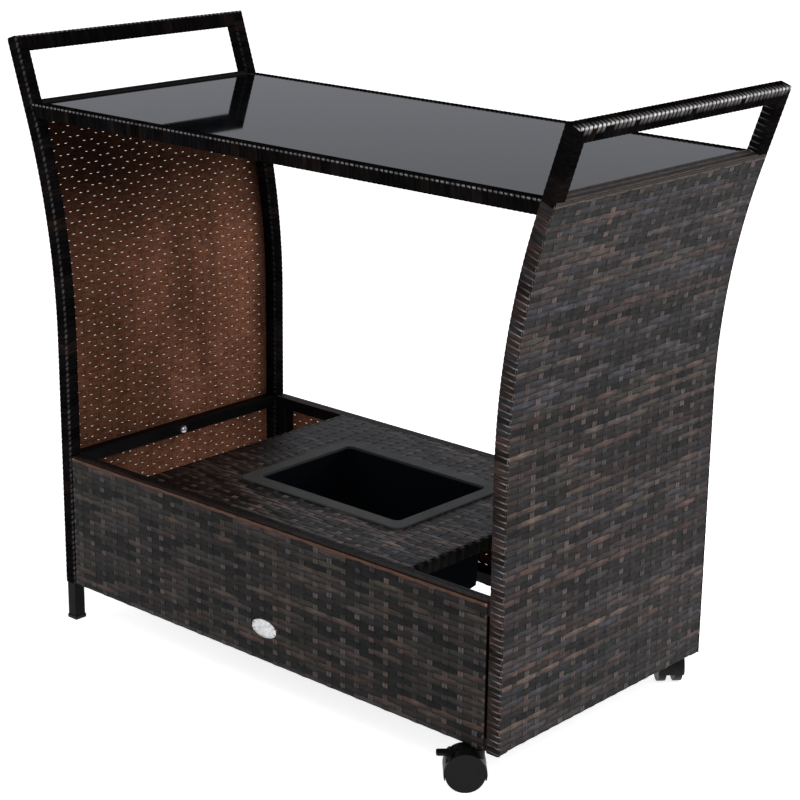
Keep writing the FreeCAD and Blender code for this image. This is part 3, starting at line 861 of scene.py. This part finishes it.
leanUp = Vector((leanSin, 0.0, leanCos))
outwards = Vector((leanCos, 0.0, -leanSin))
sideways = Vector((0.0, 1.0, 0.0))


def leanSpot(y, rise, depth):
    radius = cart["bendRadius"] + depth
    x = cart["halfBase"] + cart["bendRadius"] - radius * leanCos + rise * leanSin
    z = bendStart + radius * leanSin + rise * leanCos
    return Vector((x, y, z))


def turnedX(v, side):
    return Vector((side * v.x, v.y, v.z))


# the turns keep step with the woven rows of the end
def woundLeg(end, row, side, hand, seed, **lit):
    sheetSpot = endPath()[2]  # straight lower part of the woven end
    low = sheetSpot[3] - sheetSpot[0]
    arc = (cart["bendRadius"] + cart["strip"] / 2) * cart["lean"]
    legs = [(bendStart - low, 0.0), (arc, -cart["lean"]), (topRise, 0.0)]
    path = walk((sheetSpot[2], low), quarter, legs)
    sink = (wrapped - cart["strip"]) / 2

    def frameAt(distance):
        x, z, heading = alongPath(path, distance)
        out = Vector((math.sin(heading), 0.0, -math.cos(heading)))
        middle = Vector((x, hand * legY, z)) - out * sink
        return turnedX(middle, side), turnedX(out, side), sideways * hand

    corner = leanSpot(hand * cart["halfDepth"], topRise, wrapped / 2)
    cuts = [
        (turnedX(corner, side), turnedX(leanUp - sideways * hand, side)),
        (Vector((0.0, 0.0, cart["boxBottom"])), Vector((0.0, 0.0, -1.0))),
    ]
    node = end + "_" + row + "_leg_wrap"
    openTo = path[2][0] + foldRise
    name = end + row.capitalize() + "LegStrip"
    woundStrip(name, seed, pathLength(path), frameAt, cuts, side * hand > 0, node, lit, openTo)


def woundHandle(end, side, seed, **lit):
    middle = leanSpot(0.0, topRise - wrapped / 2, wrapped / 2)
    half = cart["halfDepth"]

    def frameAt(distance):
        spot = Vector((middle.x, distance - half, middle.z))
        return turnedX(spot, side), turnedX(outwards, side), turnedX(leanUp, side)

    cuts = []
    for hand in (-1, 1):
        corner = leanSpot(hand * half, topRise, wrapped / 2)
        cuts.append((turnedX(corner, side), turnedX(sideways * hand - leanUp, side)))
    woundStrip(end + "HandleStrip", seed, 2 * half, frameAt, cuts, side < 0, end + "_handle_wrap", lit)


def woundRail(name, seed, **lit):
    node = "table_" + name + "_rail_wrap"
    low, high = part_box(node)
    middle = (low + high) / (2 * mm)
    half = high.x / mm

    def frameAt(distance):
        return Vector((distance - half, middle.y, middle.z)), sideways, Vector((0.0, 0.0, 1.0))

    legFace = leanSpot(0.0, 0.0, wrapped - cart["strip"])
    cuts = [(turnedX(legFace, end), turnedX(outwards, end)) for end in (-1, 1)]
    woundStrip(name + "TableStrip", seed, 2 * half, frameAt, cuts, False, node, lit)


# faces and corners that get painted highlights are numbered round the tube
woundLeg("left", "front", -1, -1, 41, corners={1: 0.08})
woundLeg("left", "rear", -1, 1, 42, corners={2: 0.03})
woundLeg("right", "front", 1, -1, 44, faces={0: 0.26}, litTo=690.0)
woundLeg("right", "rear", 1, 1, 45, faces={2: 0.2})
woundHandle("left", -1, 43, corners={1: 0.3})
woundHandle("right", 1, 46, corners={0: 2.2}, spread=0.09)
woundRail("front", 51, corners={0: 0.15, 1: 0.3})
woundRail("back", 52, corners={0: 0.15, 1: 0.15})
print("wound strips ready")


# oval plate on the front panel
plate = dict(
    x=5.0,
    z=104.5,
    wide=46.0,
    tall=24.5,
    notchDeep=5.0,
    notchTall=8.0,
    points=24,  # along each half of the outline
    sink=0.1,
    sharp=35.0,
    # how far in and up each step of the face goes
    steps=[(0.0, 1.0), (0.4, 0.4), (1.2, 0.0), (0.4, -0.5)],
)


def plateOutline():
    half = plate["wide"] / 2
    tip = plate["tall"] / 2
    bite = plate["notchTall"] / 2
    start = math.asin(bite / tip)
    floor = half * math.cos(start) - plate["notchDeep"]
    outline = []
    for hand in (1, -1):
        outline.append((hand * floor, hand * bite))
        for step in range(plate["points"] + 1):
            angle = start + (math.pi - 2 * start) * step / plate["points"]
            outline.append((hand * half * math.cos(angle), hand * tip * math.sin(angle)))
        outline.append((-hand * floor, hand * bite))
    return outline


def ovalPlate():
    bm = bmesh.new()
    rim = [bm.verts.new((x * mm, y * mm, 0.0)) for x, y in plateOutline()]
    face = bmesh.ops.contextual_create(bm, geom=rim)["faces"]
    for step, (inset, rise) in enumerate(plate["steps"]):
        raised = bmesh.ops.extrude_face_region(bm, geom=face)["geom"]
        if step:
            # only the first face stays, as the back
            bmesh.ops.delete(bm, geom=face, context="FACES_ONLY")
        verts = [g for g in raised if isinstance(g, bmesh.types.BMVert)]
        face = [g for g in raised if isinstance(g, bmesh.types.BMFace)]
        shrink = Vector((1.0 - 2.0 * inset / plate["wide"], 1.0 - 2.0 * inset / plate["tall"], 1.0))
        bmesh.ops.scale(bm, verts=verts, vec=shrink)
        bmesh.ops.translate(bm, verts=verts, vec=(0.0, 0.0, rise * mm))
    bmesh.ops.recalc_face_normals(bm, faces=bm.faces[:])
    y = -(cart["halfDepth"] - plate["sink"])
    stand = Matrix.Translation((plate["x"] * mm, y * mm, plate["z"] * mm))
    bmesh.ops.transform(bm, matrix=stand @ Matrix.Rotation(quarter, 4, "X"), verts=bm.verts[:])
    mesh = bpy.data.meshes.new("ovalPlate")
    bm.to_mesh(mesh)
    bm.free()
    mesh.shade_smooth()
    mesh.set_sharp_from_angle(angle=math.radians(plate["sharp"]))
    mesh.materials.append(plateSilver)
    piece = bpy.data.objects.new("ovalPlate", mesh)
    bpy.context.scene.collection.objects.link(piece)
    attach(piece, "cart")


ovalPlate()
print("plate ready")


# floor, light and camera
studio = dict(
    cameraAt=(1.8169, -1.9802, 1.2097),
    azimuth=41.770,
    elevation=17.358,
    roll=0.758,
    lens=94.17,
    floorSize=16.0,
    floorColor=(0.9, 0.9, 0.9, 1.0),
    floorRough=(0.75, 0.9),
    floorShine=0.1,
    floorLift=0.8,
    world=0.5,
    sky=(0.95, 0.97, 1.05, 1.0),
)
lamps = dict(
    keyLamp=dict(spot=(2.6, -1.2, 2.6), target=(0.0, 0.0, 0.45), size=1.8, power=45.0),
    fillLamp=dict(spot=(-1.8, -2.6, 2.2), target=(0.0, 0.0, 0.4), size=2.2, power=15.0),
    rearLamp=dict(spot=(0.35, 1.1, 0.5), target=(-0.42, 0.1, 0.4), size=0.6, power=6.0, glossy=False),
)


def addFloor():
    bm = bmesh.new()
    bmesh.ops.create_grid(bm, x_segments=2, y_segments=2, size=studio["floorSize"])
    mesh = bpy.data.meshes.new("floor")
    bm.to_mesh(mesh)
    bm.free()
    mat, tree, shader = startMaterial("pale floor")
    where = addNode(tree, "ShaderNodeTexCoord").outputs["Object"]
    rough = ranged(tree, noiseOn(tree, where, 30.0), *studio["floorRough"])
    tree.links.new(rough, shader.inputs["Roughness"])
    shader.inputs["Base Color"].default_value = studio["floorColor"]
    shader.inputs["Specular IOR Level"].default_value = studio["floorShine"]
    shader.inputs["Emission Color"].default_value = (1.0, 1.0, 1.0, 1.0)
    shader.inputs["Emission Strength"].default_value = studio["floorLift"]
    mesh.materials.append(mat)
    floor = bpy.data.objects.new("floor", mesh)
    bpy.context.scene.collection.objects.link(floor)


def addLamp(name, spot, target, size, power, glossy=True):
    lamp = bpy.data.lights.new(name, "AREA")
    lamp.shape = "DISK"
    lamp.size = size
    lamp.energy = power
    holder = bpy.data.objects.new(name, lamp)
    holder.location = spot
    holder.rotation_euler = (Vector(target) - Vector(spot)).to_track_quat("-Z", "Y").to_euler()
    holder.visible_camera = False
    holder.visible_glossy = glossy
    bpy.context.scene.collection.objects.link(holder)


def addCamera():
    lens = bpy.data.cameras.new("camera")
    lens.lens = studio["lens"]
    lens.sensor_width = 36.0
    lens.clip_end = 60.0
    eye = bpy.data.objects.new("camera", lens)
    aim = Euler((math.radians(90.0 - studio["elevation"]), 0.0, math.radians(studio["azimuth"])))
    turn = aim.to_matrix() @ Matrix.Rotation(math.radians(studio["roll"]), 3, "Z")
    eye.matrix_world = Matrix.Translation(studio["cameraAt"]) @ turn.to_4x4()
    bpy.context.scene.collection.objects.link(eye)
    bpy.context.scene.camera = eye


addFloor()
world = bpy.data.worlds.new("studio")
world.use_nodes = True
sky = world.node_tree.nodes["Background"]
sky.inputs["Color"].default_value = studio["sky"]
sky.inputs["Strength"].default_value = studio["world"]
bpy.context.scene.world = world
for lampName, setting in lamps.items():
    addLamp(lampName, **setting)
addCamera()
bpy.context.scene.view_settings.view_transform = "Standard"
print("studio ready")
